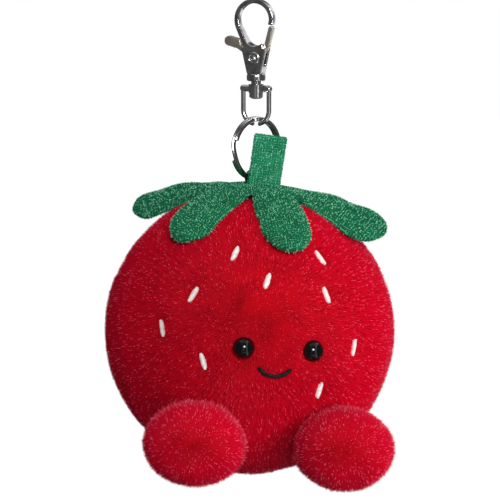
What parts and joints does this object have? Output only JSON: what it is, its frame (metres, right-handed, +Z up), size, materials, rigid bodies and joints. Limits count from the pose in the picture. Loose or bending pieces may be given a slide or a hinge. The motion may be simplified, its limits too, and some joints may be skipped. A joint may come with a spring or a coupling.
{
  "type": "plush keychain",
  "caption": "Plush strawberry toy with a leafy calyx and two feet, hung by a split ring from a swivel lobster clasp.",
  "frame": {"origin": "top of the clasp hook's eye, on the swivel axis, where a peg or ring bears", "axes": "+Z up, along the clasp as it hangs; the toy's face looks towards -Y; +X to the toy's left hand, the viewer's right"},
  "size_m": [0.088, 0.0983, 0.1468],
  "materials": {
    "clasp_chrome": "bright nickel-chrome plating on zinc die casting",
    "gate_chrome": "nickel plated pressed lever",
    "spring_steel": "bright spring wire",
    "ring_steel": "nickel plated spring steel",
    "green_webbing": "matt woven tape",
    "green_felt": "short knitted plush",
    "green_plush": "short plush with a fine glittering knit",
    "green_lining": "short plush, underside",
    "red_plush": "short soft pile with pale fibre tips",
    "stuffing": "polyester fibre fill",
    "bag_cloth": "thin woven cloth",
    "pellet_plastic": "small plastic pellets",
    "red_thread": "sewing thread",
    "black_bead": "polished",
    "washer_plastic": "moulded",
    "black_thread": "satin embroidery thread",
    "white_thread": "satin embroidery thread"
  },
  "bodies": {
    "clasp_hook": {"hook_body": "clasp_chrome", "gate_rivet": "clasp_chrome", "gate_spring": "spring_steel", "swivel_pin": "clasp_chrome"},
    "clasp_gate": {"gate_lever": "gate_chrome"},
    "clasp_shackle": {"shackle": "clasp_chrome"},
    "key_ring": {"split_ring": "ring_steel"},
    "toy": {"webbing_loop": "green_webbing", "stem": "green_felt", "calyx_upper": "green_plush", "calyx_lining": "green_lining", "skin_front": "red_plush", "skin_back_left": "red_plush", "skin_back_right": "red_plush", "skin_base": "red_plush", "body_stuffing": "stuffing", "pellet_bag": "bag_cloth", "pellets": "pellet_plastic", "closing_stitches": "red_thread", "eye_left": "black_bead", "eye_right": "black_bead", "eye_washer_left": "washer_plastic", "eye_washer_right": "washer_plastic", "smile_embroidery": "black_thread", "seed_embroidery": "white_thread", "foot_sole_left": "red_plush", "foot_upper_left": "red_plush", "foot_stuffing_left": "stuffing", "foot_sole_right": "red_plush", "foot_upper_right": "red_plush", "foot_stuffing_right": "stuffing"}
  },
  "joints": [
    {"name": "gate_open", "type": "hinge", "parent": "clasp_hook", "child": "clasp_gate", "pos_m": [0, 0, -0.0168], "axis": [-0.5299, -0.848, 0], "range_deg": [0, 25], "stiffness_Nm_per_rad": 0.02, "springref_deg": -20.05, "deforming": ["gate_spring"]},
    {"name": "clasp_swivel", "type": "hinge", "parent": "clasp_hook", "child": "clasp_shackle", "pos_m": [0, 0, -0.02635], "axis": [0, 0, 1], "continuous": true},
    {"name": "ring_swing", "type": "hinge", "parent": "clasp_shackle", "child": "key_ring", "pos_m": [0, 0, -0.0374], "axis": [0.809, -0.5878, 0], "range_deg": [-60, 60]},
    {"name": "toy_swing", "type": "hinge", "parent": "key_ring", "child": "toy", "pos_m": [0, 0, -0.05425], "axis": [0.8572, 0.515, 0], "range_deg": [-20, 20]}
  ]
}
